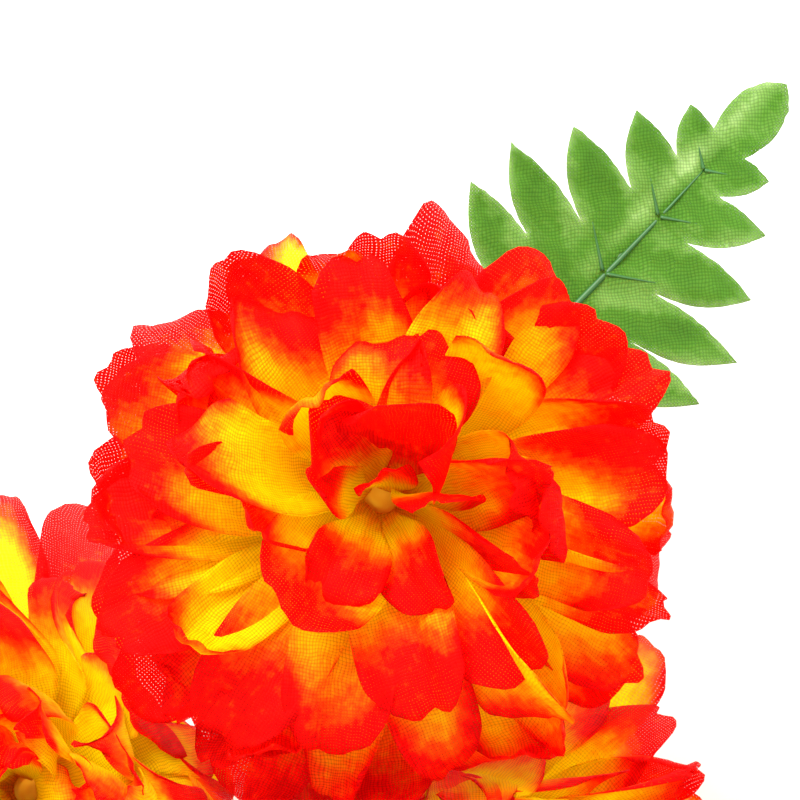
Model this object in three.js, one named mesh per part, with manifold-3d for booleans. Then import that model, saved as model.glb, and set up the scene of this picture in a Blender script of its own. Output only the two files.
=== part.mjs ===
// An artificial chrysanthemum bouquet, lying on its side: seven pompon heads of heat-formed fabric
// petals, each on its own bendable plastic-covered stem with a green calyx, the stems plugged into one
// moulded main stem, and lobed fabric leaves with plastic midribs on short stalks. Millimetres, +Z up,
// the surface it lies on at z = 0.
import * as THREE from "three";
import { mergeVertices } from "three/addons/utils/BufferGeometryUtils.js";
import Module from "manifold-3d";

const wasm = await Module();
wasm.setup();

// ---- Driving dimensions -----------------------------------------------------------------------------
const GAP = 0.3; // between pieces that seat on each other
const FABRIC = 0.64; // thickness of a petal or leaf blade
const STEM_RADIUS = 2.2;
const TRUNK_RADIUS = 5.5;
const CROWN_RADIUS = 11; // the swollen top of the main stem, with the sockets
const SOCKET_DEPTH = 14;
const CALYX_RADIUS = 8;
const CALYX_HEIGHT = 13;
const CORE_RADIUS = 7.5; // the pad in each head that its petals are rooted in
const CORE_HEIGHT = 22;
const ROOT_RADIUS = 3; // where a fabric layer meets the peg
const RIB_RADIUS = 1.1;
// How far off a petal starts to give way to the next head or to the table, and how near its middle can
// come.
const ON_NEIGHBOUR = { reach: 12, gap: 0.6 };
const ON_TABLE = { reach: 7, gap: 0.32 };

// Where the middle of the base of the whole bouquet lies in the working coordinates below.
const BASE_MIDDLE = [-17.995, -151.033, 0];

// The fabric layers of a head, from the calyx up. elevation and arch are degrees: how steeply a petal
// leaves the peg, and how far it turns outwards by its tip.
const LAYERS = [
  { petals: 8, height: 1.5, length: 66, width: 31, elevation: 4, arch: -4, cup: 0.35, rows: [0.55, 1] },
  { petals: 7, height: 5, length: 63, width: 30, elevation: 19, arch: -8, cup: 0.42, rows: [0.6, 1] },
  { petals: 7, height: 8.5, length: 58, width: 27, elevation: 35, arch: -16, cup: 0.46, rows: [0.6, 1] },
  { petals: 6, height: 12, length: 50, width: 25, elevation: 49, arch: -24, cup: 0.5, rows: [0.6, 1] },
  { petals: 5, height: 15.5, length: 42, width: 22, elevation: 61, arch: -32, cup: 0.5, rows: [0.6, 1] },
  { petals: 3, height: 18.5, length: 33, width: 19, elevation: 73, arch: -40, cup: 0.5, rows: [0.6, 1] },
];

// Each head: its middle, which way it faces, its turn about that, its size and its row of random draws.
const HEADS = {
  a: { middle: [-3, -1, 120], faces: [-0.08, -0.38, 0.92], turn: 0, scale: 1.04, seed: 7 },
  b: { middle: [-81, -60, 89], faces: [-0.2, -0.15, 0.97], turn: 20, scale: 1.02, seed: 23 },
  c: { middle: [-45, -157, 62], faces: [-0.15, 0.2, 0.97], turn: 35, scale: 0.97, seed: 37 },
  d: { middle: [12, -82, 80], faces: [0.08, -0.25, 0.96], turn: 10, scale: 1.02, seed: 45 },
  e: { middle: [-172, -29, 47], faces: [-0.55, 0.35, 0.75], turn: 50, scale: 0.96, seed: 52 },
  f: { middle: [135, -100, 48], faces: [0.6, 0.25, 0.76], turn: 15, scale: 0.96, seed: 66 },
  g: { middle: [60, -182, 60], faces: [0.15, 0.15, 0.97], turn: 5, scale: 0.96, seed: 71 },
};
const DOME_MIDDLE = 18; // how far a head's middle lies above its lowest layer
const HEAD_REACH = 63;
const FIRM = { a: 0.72 }; // the share of the room between two heads that this one keeps, the others 0.5
const TILT = 0.5; // how much flatter the plane between two heads lies than square to the line between them

// The main stem: its cut end and its crown.
const TRUNK_END = [-4, -405, 5.45];
const CROWN = [0, -275, 24];

// Each stem: where its socket lies on the crown (degrees round it, and share of the ring's radius),
// which way it leaves, and how strongly it keeps its direction at either end.
const STEMS = {
  a: { socket: [0, 0], leaves: [-0.04, 1, -0.02], pull: 150, push: 62 },
  b: { socket: [240, 1], leaves: [-0.22, 0.97, -0.06], pull: 110, push: 40 },
  c: { socket: [120, 1], leaves: [-0.35, 0.93, 0.1], pull: 50, push: 26 },
  d: { socket: [300, 1], leaves: [0.06, 1, -0.05], pull: 100, push: 40 },
  e: { socket: [180, 1], leaves: [-0.5, 0.86, 0], pull: 120, push: 40 },
  f: { socket: [0, 1], leaves: [0.5, 0.86, -0.13], pull: 90, push: 36 },
  g: { socket: [60, 1], leaves: [0.35, 0.93, 0.18], pull: 50, push: 22 },
};
const SOCKET_RING = 6.6;

// ---- Small helpers ----------------------------------------------------------------------------------
const vec = (a) => new THREE.Vector3(...a);
const radians = THREE.MathUtils.degToRad;
const smooth = (a, b, x) => THREE.MathUtils.smoothstep(x, a, b);

// A repeatable row of random numbers from -1 to 1.
function draws(seed) {
  let state = seed * 7919 + 1;
  return () => {
    state = (state * 16807) % 2147483647;
    return (state / 2147483647) * 2 - 1;
  };
}

function toSolid(geometry) {
  const bare = geometry.clone();
  bare.deleteAttribute("normal");
  bare.deleteAttribute("uv");
  const merged = mergeVertices(bare, 1e-4);
  return new wasm.Manifold(
    new wasm.Mesh({
      numProp: 3,
      vertProperties: merged.attributes.position.array,
      triVerts: new Uint32Array(merged.index.array),
    }),
  );
}

function toGeometry(solid) {
  const mesh = solid.getMesh();
  const geometry = new THREE.BufferGeometry();
  geometry.setAttribute("position", new THREE.BufferAttribute(new Float32Array(mesh.vertProperties), 3));
  geometry.setIndex(new THREE.BufferAttribute(mesh.triVerts, 1));
  geometry.computeVertexNormals();
  return geometry;
}

// The largest body of a solid, without loose scraps.
function mainBody(solid) {
  return solid.decompose().sort((p, q) => q.volume() - p.volume())[0];
}

function fuse(solids) {
  return mainBody(solids.reduce((whole, next) => whole.add(next)));
}

// A closed thin solid from the points of its front, those of its back, and the front's triangles.
function thicken(front, back, faces) {
  const count = front.length;
  const edges = new Map();
  for (const face of faces) {
    face.forEach((p, k) => edges.set(`${p} ${face[(k + 1) % 3]}`, [p, face[(k + 1) % 3]]));
  }
  const rim = [...edges.values()].filter(([p, q]) => !edges.has(`${q} ${p}`));
  const walls = rim.flatMap(([p, q]) => [q, p, p + count, q, p + count, q + count]);
  const backs = faces.flatMap(([p, q, r]) => [p + count, r + count, q + count]);
  const geometry = new THREE.BufferGeometry().setFromPoints([...front, ...back]);
  geometry.setIndex([...faces.flat(), ...backs, ...walls]);
  return geometry;
}

// The triangles of a blade of one point at its root and rows of three across.
function bladeFaces(rows) {
  const faces = [
    [0, 1, 2],
    [0, 2, 3],
  ];
  for (let row = 0; row + 1 < rows; row++) {
    const [p, q] = [1 + 3 * row, 4 + 3 * row];
    faces.push([p, q, p + 1], [q, q + 1, p + 1], [p + 1, q + 1, q + 2], [p + 1, q + 2, p + 2]);
  }
  return faces;
}

// A closed rod of a few flat sides along a row of points, as thick at each as its radius says.
function rod(points, radii, sides) {
  const tangents = points.map((_, i) => {
    const [from, to] = [points[Math.max(i - 1, 0)], points[Math.min(i + 1, points.length - 1)]];
    return to.clone().sub(from).normalize();
  });
  let across = new THREE.Vector3(0, 0, 1).cross(tangents[0]).normalize();
  const ring = points.flatMap((point, i) => {
    across = across.addScaledVector(tangents[i], -across.dot(tangents[i])).normalize();
    const up = tangents[i].clone().cross(across);
    return Array.from({ length: sides }, (_, k) => {
      const turn = (2 * Math.PI * k) / sides;
      return point
        .clone()
        .addScaledVector(across, radii[i] * Math.cos(turn))
        .addScaledVector(up, radii[i] * Math.sin(turn));
    });
  });
  const index = [];
  for (let i = 0; i + 1 < points.length; i++) {
    for (let k = 0; k < sides; k++) {
      const [p, q] = [i * sides + k, i * sides + ((k + 1) % sides)];
      index.push(p, q, q + sides, p, q + sides, p + sides);
    }
  }
  const last = (points.length - 1) * sides;
  for (let k = 1; k + 1 < sides; k++) {
    index.push(0, k + 1, k, last, last + k, last + k + 1);
  }
  const geometry = new THREE.BufferGeometry().setFromPoints(ring);
  geometry.setIndex(index);
  return geometry;
}

// Pushes a point back from the planes that its neighbours lie behind, softly at first and then for
// good.
function press(point, planes) {
  for (const { origin, normal, reach, gap } of planes) {
    const distance = point.clone().sub(origin).dot(normal);
    if (distance < reach) {
      const room = reach - gap;
      point.addScaledVector(normal, gap + room * Math.exp((distance - reach) / room) - distance);
    }
  }
  for (let round = 0; round < 3; round++) {
    for (const { origin, normal, gap } of planes) {
      const distance = point.clone().sub(origin).dot(normal);
      point.addScaledVector(normal, Math.max(gap - distance, 0));
    }
  }
  return point;
}

// ---- Petals -----------------------------------------------------------------------------------------
const CENTRELINE_STEPS = 16;
const TIP_SHARE = 0.72; // how much of a petal's width its outermost edge takes up
const SHINGLE = 0.26; // how far a petal is turned about its own length, one edge over its neighbour
const TIP_ROUND = 0.3; // how far the corners of a petal's end are drawn back, as a share of its length

// One petal's own shape: its layer's, with its share of the random draws.
function petalShape(layer, k, turn, random) {
  const curl = random();
  return {
    azimuth: (2 * Math.PI * (k + turn + 0.12 * random())) / layer.petals,
    height: layer.height,
    length: layer.length * (1 + 0.05 * random()),
    halfWidth: (layer.width / 2) * (1 + 0.08 * random()),
    elevation: radians(layer.elevation + 3 * random()),
    arch: radians(layer.arch + 14 * random()),
    curl: radians(curl > 0.4 ? 80 * curl : 40 * curl),
    cup: layer.cup + 0.25 * random(),
    twist: SHINGLE + 0.12 * random(),
    side: 3 * random(),
    rows: layer.rows,
  };
}

// The point of a petal's middle surface at u from root to tip and v from -1 to 1 across, in its head's
// own frame.
function petalPoint(petal, u, v) {
  let reach = ROOT_RADIUS;
  let rise = petal.height;
  const along = u * (1 - TIP_ROUND * Math.abs(v) ** 2.4 * u ** 3);
  for (let k = 0; k < CENTRELINE_STEPS; k++) {
    const s = ((k + 0.5) / CENTRELINE_STEPS) * along;
    const e = slope(petal, s);
    reach += (Math.cos(e) * petal.length * along) / CENTRELINE_STEPS;
    rise += (Math.sin(e) * petal.length * along) / CENTRELINE_STEPS;
  }
  const steep = slope(petal, along);
  const half = petal.halfWidth * (0.16 + 0.84 * smooth(-0.05, 0.62, u)) * (1 - 0.2 * u ** 6);
  const bow = petal.cup * smooth(0, 0.4, u) + 1e-3;
  const across = (half * Math.sin(v * bow)) / bow;
  const lift = (half * (1 - Math.cos(v * bow))) / bow;
  const turned = petal.twist * smooth(0, 0.3, u);
  const sideways = across * Math.cos(turned) - lift * Math.sin(turned) + petal.side * u * u;
  const outwards = across * Math.sin(turned) + lift * Math.cos(turned);
  const radius = reach - outwards * Math.sin(steep);
  const [c, s] = [Math.cos(petal.azimuth), Math.sin(petal.azimuth)];
  const height = rise + outwards * Math.cos(steep);
  return new THREE.Vector3(radius * c - sideways * s, radius * s + sideways * c, height);
}

// How steeply the petal climbs at s along it.
function slope(petal, s) {
  return petal.elevation + petal.arch * s * s + petal.curl * s ** 5;
}

// The closed blade of one petal, pressed back from the planes around its head.
function petalSolid(petal, planes) {
  const rows = petal.rows.flatMap((u) => [-1, 0, 1].map((v) => [u, u < 1 ? v : v * TIP_SHARE]));
  const spots = [[0.02, 0], ...rows];
  const point = (u, v) => press(petalPoint(petal, u, v), planes);
  const step = 0.02;
  const normals = spots.map(([u, v]) => {
    const du = point(u + step, v).sub(point(u - step, v));
    const dv = point(u, v + step).sub(point(u, v - step));
    return du.cross(dv).normalize();
  });
  const side = (share) => spots.map(([u, v], k) => point(u, v).addScaledVector(normals[k], share * FABRIC));
  return toSolid(thicken(side(0.5), side(-0.5), bladeFaces(petal.rows.length)));
}

// ---- Heads ------------------------------------------------------------------------------------------
function headFrame({ middle, faces, turn, scale }) {
  const z = vec(faces).normalize();
  const x = new THREE.Vector3(1, 0, 0).addScaledVector(z, -z.x).normalize();
  const y = z.clone().cross(x);
  const matrix = new THREE.Matrix4().makeBasis(x, y, z);
  const spin = new THREE.Matrix4().makeRotationZ(radians(turn));
  return matrix.multiply(spin).setPosition(vec(middle).addScaledVector(z, -DOME_MIDDLE * scale));
}

// The planes that a head's fabric stays behind: the table, and one against each head near it.
function planesAround(name) {
  const head = HEADS[name];
  const planes = [{ origin: new THREE.Vector3(), normal: new THREE.Vector3(0, 0, 1), ...ON_TABLE }];
  for (const [otherName, other] of Object.entries(HEADS)) {
    const towards = vec(other.middle).sub(vec(head.middle));
    const apart = towards.length();
    if (otherName === name || apart > 2 * HEAD_REACH) continue;
    const share = FIRM[name] ?? 1 - (FIRM[otherName] ?? 0.5);
    const origin = vec(head.middle).addScaledVector(towards, share);
    const flatten = new THREE.Vector3(0, 0, towards.z < 0 ? 1 : -1);
    const steepness = Math.abs(towards.z) / apart;
    const normal = towards.normalize().negate().addScaledVector(flatten, TILT * steepness * 2).normalize();
    planes.push({ origin, normal, ...ON_NEIGHBOUR });
  }
  return planes;
}

function headMesh(name) {
  const head = HEADS[name];
  const frame = headFrame(head);
  const back = frame.clone().invert();
  const planes = planesAround(name).map(({ origin, normal, ...press }) => ({
    ...press,
    origin: origin.clone().applyMatrix4(back),
    normal: normal.clone().transformDirection(back),
  }));
  const random = draws(head.seed);
  const core = new THREE.LatheGeometry(
    [
      [0, -1.2],
      [CORE_RADIUS, -1.2],
      [CORE_RADIUS * 0.8, CORE_HEIGHT * 0.7],
      [CORE_RADIUS * 0.4, CORE_HEIGHT],
      [0, CORE_HEIGHT],
    ].map((p) => new THREE.Vector2(...p)),
    8,
  );
  core.rotateX(Math.PI / 2);
  const solids = [toSolid(core)];
  LAYERS.forEach((layer, n) => {
    const scaled = { ...layer, length: layer.length * head.scale, width: layer.width * head.scale };
    for (let k = 0; k < layer.petals; k++) {
      const petal = petalShape(scaled, k, 0.5 * n, random);
      solids.push(petalSolid(petal, planes));
    }
  });
  const mesh = new THREE.Mesh(toGeometry(fuse(solids)), PETAL);
  mesh.name = "head_" + name;
  mesh.applyMatrix4(frame);
  return mesh;
}

// ---- Calyx, stems and main stem ---------------------------------------------------------------------
const CALYX_TOP = -1.2 - GAP;
const PLUG_DEPTH = 9; // how far a stem reaches into its calyx

function calyxMesh(name) {
  const bottom = CALYX_TOP - CALYX_HEIGHT;
  const profile = [
    [0, bottom],
    [STEM_RADIUS + 1.7, bottom],
    [STEM_RADIUS + 2.3, bottom + 5],
    [CALYX_RADIUS, CALYX_TOP - 1.5],
    [CALYX_RADIUS, CALYX_TOP],
    [0, CALYX_TOP],
  ].map((p) => new THREE.Vector2(...p));
  const cup = new THREE.LatheGeometry(profile, 8);
  cup.rotateX(Math.PI / 2);
  cup.applyMatrix4(headFrame(HEADS[name]));
  const line = stemLine(name);
  const [seat, tip] = line.slice(-2);
  const mesh = new THREE.Mesh(toGeometry(mainBody(toSolid(cup).subtract(hole(tip, seat)))), GREEN_PLASTIC);
  mesh.name = "calyx_" + name;
  return mesh;
}

const TRUNK_AXIS = vec(CROWN).sub(vec(TRUNK_END)).normalize();
const STEM_BENDS = 12;

// Where a stem's plugged end sits in the crown.
function socketFoot(name) {
  const [angle, share] = STEMS[name].socket;
  const right = new THREE.Vector3(1, 0, 0).addScaledVector(TRUNK_AXIS, -TRUNK_AXIS.x).normalize();
  const up = right.clone().cross(TRUNK_AXIS);
  return vec(CROWN)
    .addScaledVector(right, SOCKET_RING * share * Math.cos(radians(angle)))
    .addScaledVector(up, SOCKET_RING * share * Math.sin(radians(angle)));
}

// The points of a stem's middle line: straight in its socket, bent between, and straight in its calyx.
function stemLine(name) {
  const head = HEADS[name];
  const faces = vec(head.faces).normalize();
  const seat = new THREE.Vector3(0, 0, CALYX_TOP - CALYX_HEIGHT - 1).applyMatrix4(headFrame(head));
  const tip = seat.clone().addScaledVector(faces, PLUG_DEPTH + 1);
  const { leaves, pull, push } = STEMS[name];
  const foot = socketFoot(name);
  const mouth = foot.clone().addScaledVector(TRUNK_AXIS, SOCKET_DEPTH + 1);
  const bend = new THREE.CubicBezierCurve3(
    mouth,
    mouth.clone().addScaledVector(vec(leaves).normalize(), pull),
    seat.clone().addScaledVector(faces, -push),
    seat,
  );
  return [foot, ...bend.getSpacedPoints(STEM_BENDS), tip];
}

// The straight hole round a stretch of stem, a little longer at its far end, and by GAP at its near
// end.
function hole(near, far) {
  const away = far.clone().sub(near).normalize();
  const ends = [near.clone().addScaledVector(away, -GAP), far.clone().addScaledVector(away, 2)];
  return toSolid(rod(ends, [STEM_RADIUS + GAP, STEM_RADIUS + GAP], 8));
}

function stemMesh(name) {
  const line = stemLine(name);
  const mesh = new THREE.Mesh(rod(line, line.map(() => STEM_RADIUS), 6), GREEN_PLASTIC);
  mesh.name = "stem_" + name;
  return mesh;
}

function trunkMesh() {
  const length = vec(CROWN).distanceTo(vec(TRUNK_END));
  const profile = [
    [0, 0],
    [TRUNK_RADIUS, 0],
    [TRUNK_RADIUS, length - 30],
    [CROWN_RADIUS, length - 8],
    [CROWN_RADIUS, length + SOCKET_DEPTH - 2],
    [CROWN_RADIUS - 2, length + SOCKET_DEPTH],
    [0, length + SOCKET_DEPTH],
  ].map((p) => new THREE.Vector2(...p));
  const body = new THREE.LatheGeometry(profile, 12);
  body.applyQuaternion(new THREE.Quaternion().setFromUnitVectors(new THREE.Vector3(0, 1, 0), TRUNK_AXIS));
  body.translate(...TRUNK_END);
  const solid = Object.keys(STEMS).reduce((rest, name) => {
    const [foot, mouth] = stemLine(name);
    return rest.subtract(hole(foot, mouth));
  }, toSolid(body));
  const mesh = new THREE.Mesh(toGeometry(mainBody(solid)), GREEN_PLASTIC);
  mesh.name = "main_stem";
  return mesh;
}

// ---- Leaves -----------------------------------------------------------------------------------------
// Each leaf: the stretch of stem it is slid on, how far out its blade begins and how far its stalk
// swings to the side by then, which way it points, which way its upper face looks, and its size.
const LEAVES = {
  a: { stem: "a", stretch: 11, stalk: 38, swing: 9, points: [0.7, 0.7, 0.15], up: [-0.1, -0.3, 1], scale: 1.04 },
  b: { stem: "b", stretch: 8, stalk: 16, swing: 0, points: [-0.9, 0.3, 0.3], up: [0, 0, 1], scale: 0.95 },
  c: { stem: "c", stretch: 6, stalk: 16, swing: 0, points: [-0.85, -0.45, 0.15], up: [0, 0, 1], scale: 0.95 },
  d: { stem: "d", stretch: 8, stalk: 16, swing: 0, points: [0.9, 0.35, 0.1], up: [0, 0, 1], scale: 0.95 },
  e: { stem: "e", stretch: 9, stalk: 16, swing: 0, points: [-0.97, -0.22, 0.1], up: [0, 0, 1], scale: 0.9 },
  f: { stem: "f", stretch: 8, stalk: 16, swing: 0, points: [0.9, -0.4, 0.1], up: [0, 0, 1], scale: 0.9 },
  g: { stem: "g", stretch: 5, stalk: 16, swing: 0, points: [0.7, -0.7, 0.2], up: [0, 0, 1], scale: 0.95 },
  h: { stem: "e", stretch: 5, stalk: 16, swing: 0, points: [-0.93, -0.36, 0.02], up: [0, 0, 1], scale: 0.85 },
};
const COLLAR_LENGTH = 7;
const COLLAR_WALL = 1.2;
const RIB_WIDTH = 2.2;
const RIB_DEPTH = 1.4; // how far the midrib stands out under the blade
const FOLD = 0.16; // how far each half of a leaf rises from its midrib
const SAG = 12; // how far a leaf's tip hangs below its stalk's line
// One half of a leaf's outline: tips and notches of its lobes, as (along, across) from the blade's
// base.
const LOBES = [
  [5, 12],
  [8, 21],
  [15, 27],
  [17, 20],
  [21.5, 29.5],
  [30, 34.5],
  [29.5, 22],
  [33.5, 30],
  [42, 34],
  [40.5, 16],
  [54, 27],
  [53, 12],
  [66, 19.5],
  [65, 7.8],
  [75, 12],
  [74, 4.6],
  [88, 4.5],
];
const MIDRIB = [0, 17, 34, 53, 74];
const LEAF_TIP = 93;

function leafHeight(along, across) {
  const s = along / LEAF_TIP;
  const out = Math.abs(across);
  return FOLD * out - SAG * s * s + 1.2 * Math.sin(along * 0.12) * Math.min(out / 12, 1);
}

// The triangles of a leaf, as (along, across) at each corner: two halves, and the strip of the midrib
// between them.
function leafTriangles() {
  const w = RIB_WIDTH / 2;
  const tip = [LEAF_TIP, 0];
  const half = [...MIDRIB.map((a) => [a, w]), tip, ...LOBES.toReversed()];
  const corners = half.map(([a, c]) => new THREE.Vector2(a, c));
  const faces = THREE.ShapeUtils.triangulateShape(corners, []).map((face) => face.map((k) => half[k]));
  const strip = MIDRIB.flatMap((a, i) => {
    const b = MIDRIB[i + 1];
    if (b === undefined) return [[[a, 0], tip, [a, w]]];
    return [
      [[a, 0], [b, 0], [b, w]],
      [[a, 0], [b, w], [a, w]],
    ];
  });
  const upper = [...faces, ...strip];
  const lower = upper.map((face) => face.map(([a, c]) => [a, -c]).toReversed());
  return [...upper, ...lower];
}

// The closed blade of a leaf, its midrib standing out underneath as a ridge.
function leafBlade({ stalk, swing, scale }) {
  const spots = new Map();
  const faces = leafTriangles().map((face) =>
    face.map(([a, c]) => {
      const key = `${a} ${Math.abs(c) < 1e-9 ? 0 : c}`;
      if (!spots.has(key)) spots.set(key, { index: spots.size, a, c });
      return spots.get(key).index;
    }),
  );
  const sheet = (drop) =>
    [...spots.values()].map(({ a, c }) => {
      const ridge = c === 0 && a < LEAF_TIP ? drop : Math.sign(drop) * Math.min(FABRIC / 2, Math.abs(drop));
      return new THREE.Vector3(stalk + a * scale, c * scale + swing, leafHeight(a, c) - ridge);
    });
  return toSolid(thicken(sheet(-FABRIC / 2), sheet(FABRIC / 2 + RIB_DEPTH), faces));
}

function leafMesh(name) {
  const { stem, stretch, stalk: out, swing, points, up } = LEAVES[name];
  const [from, to] = stemLine(stem).slice(stretch, stretch + 2);
  const root = from.clone().lerp(to, 0.5);
  const x = vec(points).normalize();
  const y = vec(up).cross(x).normalize();
  const frame = new THREE.Matrix4().makeBasis(x, y, x.clone().cross(y)).setPosition(root);
  const stalkLine = [
    [0, 0],
    [out / 2, swing / 2],
    [out + 12, swing],
  ].map(([a, c]) => new THREE.Vector3(a, c, -RIB_DEPTH / 2));
  const stalk = toSolid(rod(stalkLine, [RIB_RADIUS, RIB_RADIUS, RIB_RADIUS * 0.6], 5));
  const along = to.clone().sub(from).normalize();
  const collarEnds = [-1, 1].map((side) => root.clone().addScaledVector(along, (side * COLLAR_LENGTH) / 2));
  const outer = STEM_RADIUS + GAP + COLLAR_WALL;
  const collar = toSolid(rod(collarEnds, [outer, outer], 8));
  const blade = leafBlade(LEAVES[name]).add(stalk).transform(frame.toArray());
  const bore = hole(...collarEnds.map((end, k) => end.addScaledVector(along, k - 0.5)));
  const solid = blade.add(collar).subtract(bore);
  const mesh = new THREE.Mesh(toGeometry(mainBody(solid)), LEAF_FABRIC);
  mesh.name = "leaf_" + name;
  return mesh;
}

// ---- Materials and the bouquet ----------------------------------------------------------------------
const PETAL = new THREE.MeshStandardMaterial({ color: 0xf0380c, roughness: 0.75, metalness: 0 });
const LEAF_FABRIC = new THREE.MeshStandardMaterial({ color: 0x5fa537, roughness: 0.7, metalness: 0 });
const GREEN_PLASTIC = new THREE.MeshStandardMaterial({ color: 0x3f7d2c, roughness: 0.55, metalness: 0 });

const bouquet = new THREE.Group();
bouquet.add(trunkMesh());
for (const name of Object.keys(HEADS)) {
  bouquet.add(stemMesh(name), calyxMesh(name), headMesh(name));
}
for (const name of Object.keys(LEAVES)) {
  bouquet.add(leafMesh(name));
}
bouquet.position.set(...BASE_MIDDLE.map((x) => -x));

export default bouquet;
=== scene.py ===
import math

import bpy
import numpy as np
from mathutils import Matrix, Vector
from mathutils.geometry import delaunay_2d_cdt


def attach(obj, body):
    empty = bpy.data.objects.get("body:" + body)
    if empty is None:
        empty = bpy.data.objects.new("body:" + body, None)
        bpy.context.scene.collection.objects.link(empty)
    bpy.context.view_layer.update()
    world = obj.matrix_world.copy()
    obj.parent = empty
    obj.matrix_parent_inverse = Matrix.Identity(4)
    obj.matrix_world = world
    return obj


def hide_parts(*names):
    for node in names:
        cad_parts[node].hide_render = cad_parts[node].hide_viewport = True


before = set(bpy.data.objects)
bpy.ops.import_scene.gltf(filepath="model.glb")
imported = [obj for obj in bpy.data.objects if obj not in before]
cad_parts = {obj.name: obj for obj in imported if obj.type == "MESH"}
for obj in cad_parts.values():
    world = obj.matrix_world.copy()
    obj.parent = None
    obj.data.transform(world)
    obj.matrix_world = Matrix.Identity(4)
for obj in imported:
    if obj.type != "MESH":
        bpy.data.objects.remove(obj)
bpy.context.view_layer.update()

# Heads: seven pompon heads, each a stack of punched and heat-formed layers of plain-woven polyester pushed
# onto one plastic peg. The cloth is dyed yellow at the middle of each layer and sprayed red towards the ends,
# and painted a deeper orange as shade at each petal's root, deep in the head.
# Every petal is a cupped, creased and curled blade that gives way to the next head and to the table.
BASE_MIDDLE = np.array([-17.995, -151.033, 0])  # the middle of the bouquet's base, in millimetres
METRES = 0.001
THREAD = 0.72  # from one thread of the cloth to the next
THREAD_DRIFT = 1.2  # how far a thread strays from its straight line
GAP_CLOSE = 0.2  # how wide the gaps between threads are in close cloth
GAP_MORE = 0.17  # and how much wider where the threads have slid apart
# Painted shade of the weave: the gaps between threads are painted darker and the thread tops lighter.
THREAD_TOP_PAINTED_LIGHT = 0.8  # how much lighter the top of a thread is
THREAD_GAP_PAINTED_SHADE = 0.46  # than the cloth between two threads
DYE_MOTTLE = 0.56
DYE_STREAK = 0.2


def math_node(tree, operation, a, b=None, c=None, clamp=False):
    """The output of a new Math node whose inputs are numbers or other nodes' outputs."""
    node = tree.nodes.new("ShaderNodeMath")
    node.operation = operation
    node.use_clamp = clamp
    for socket, value in zip(node.inputs, (a, b, c)):
        if isinstance(value, (int, float)):
            socket.default_value = value
        elif value is not None:
            tree.links.new(value, socket)
    return node.outputs[0]


def weave_group():
    """Threads over and under each other: their height, and a mask that is 0 in the gaps between them."""
    tree = bpy.data.node_groups.new("weave", "ShaderNodeTree")
    for label, value in (("Angle", 0.0), ("Openness", 0.5)):
        socket = tree.interface.new_socket(name=label, in_out="INPUT", socket_type="NodeSocketFloat")
        socket.default_value = value
    for label in ("Height", "Cloth"):
        tree.interface.new_socket(name=label, in_out="OUTPUT", socket_type="NodeSocketFloat")
    into, out = tree.nodes.new("NodeGroupInput"), tree.nodes.new("NodeGroupOutput")
    uv = tree.nodes.new("ShaderNodeUVMap")
    uv.uv_map = "cloth"
    turn = tree.nodes.new("ShaderNodeVectorRotate")
    turn.rotation_type = "Z_AXIS"
    tree.links.new(uv.outputs[0], turn.inputs["Vector"])
    tree.links.new(into.outputs["Angle"], turn.inputs["Angle"])
    wobble = tree.nodes.new("ShaderNodeTexNoise")
    wobble.inputs["Scale"].default_value = 0.25
    wobble.inputs["Detail"].default_value = 0.0
    tree.links.new(uv.outputs[0], wobble.inputs["Vector"])
    parts = tree.nodes.new("ShaderNodeSeparateXYZ")
    tree.links.new(turn.outputs[0], parts.inputs[0])
    threads = []
    for axis in ("X", "Y"):
        bent = math_node(tree, "MULTIPLY_ADD", wobble.outputs[0], THREAD_DRIFT, parts.outputs[axis])
        wave = math_node(tree, "SINE", math_node(tree, "MULTIPLY", bent, math.pi / THREAD))
        threads.append(math_node(tree, "ABSOLUTE", wave))
    low = math_node(tree, "MULTIPLY_ADD", into.outputs["Openness"], GAP_MORE, GAP_CLOSE)
    cloth = math_node(tree, "GREATER_THAN", math_node(tree, "MAXIMUM", *threads), low)
    height = math_node(tree, "POWER", math_node(tree, "MULTIPLY", *threads), 0.5)
    tree.links.new(height, out.inputs["Height"])
    tree.links.new(cloth, out.inputs["Cloth"])
    return tree


WEAVE = weave_group()


def dyed_colour(tree, colours, positions, share, mottle_size):
    """A colour that runs through colours as the share named share goes from 0 to 1, blotted and streaked."""
    link = tree.links.new
    dye_and_shade = tree.nodes.new("ShaderNodeAttribute")
    dye_and_shade.attribute_name = share
    place = tree.nodes.new("ShaderNodeTexCoord")
    mottle = tree.nodes.new("ShaderNodeTexNoise")
    mottle.inputs["Scale"].default_value = mottle_size
    mottle.inputs["Detail"].default_value = 3
    mottle.inputs["Roughness"].default_value = 0.65
    link(place.outputs["Object"], mottle.inputs["Vector"])
    flat = tree.nodes.new("ShaderNodeUVMap")
    flat.uv_map = "cloth"
    drawn = tree.nodes.new("ShaderNodeMapping")
    drawn.inputs["Scale"].default_value = (0.9, 0.12, 1)
    link(flat.outputs[0], drawn.inputs["Vector"])
    streak = tree.nodes.new("ShaderNodeTexNoise")
    streak.inputs["Scale"].default_value = 1.0
    streak.inputs["Detail"].default_value = 1
    link(drawn.outputs[0], streak.inputs["Vector"])
    blots = math_node(tree, "MULTIPLY_ADD", mottle.outputs[0], DYE_MOTTLE, -DYE_MOTTLE / 2)
    streaks = math_node(tree, "MULTIPLY_ADD", streak.outputs[0], DYE_STREAK, -DYE_STREAK / 2)
    uneven = math_node(tree, "ADD", blots, streaks)
    ramp = tree.nodes.new("ShaderNodeValToRGB")
    ramp.color_ramp.elements[0].color = (*colours[0], 1)
    ramp.color_ramp.elements[1].color = (*colours[-1], 1)
    for position, colour in zip(positions, colours[1:-1]):
        ramp.color_ramp.elements.new(position).color = (*colour, 1)
    link(math_node(tree, "ADD", dye_and_shade.outputs["Fac"], uneven, clamp=True), ramp.inputs[0])
    return ramp.outputs[0]


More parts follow.
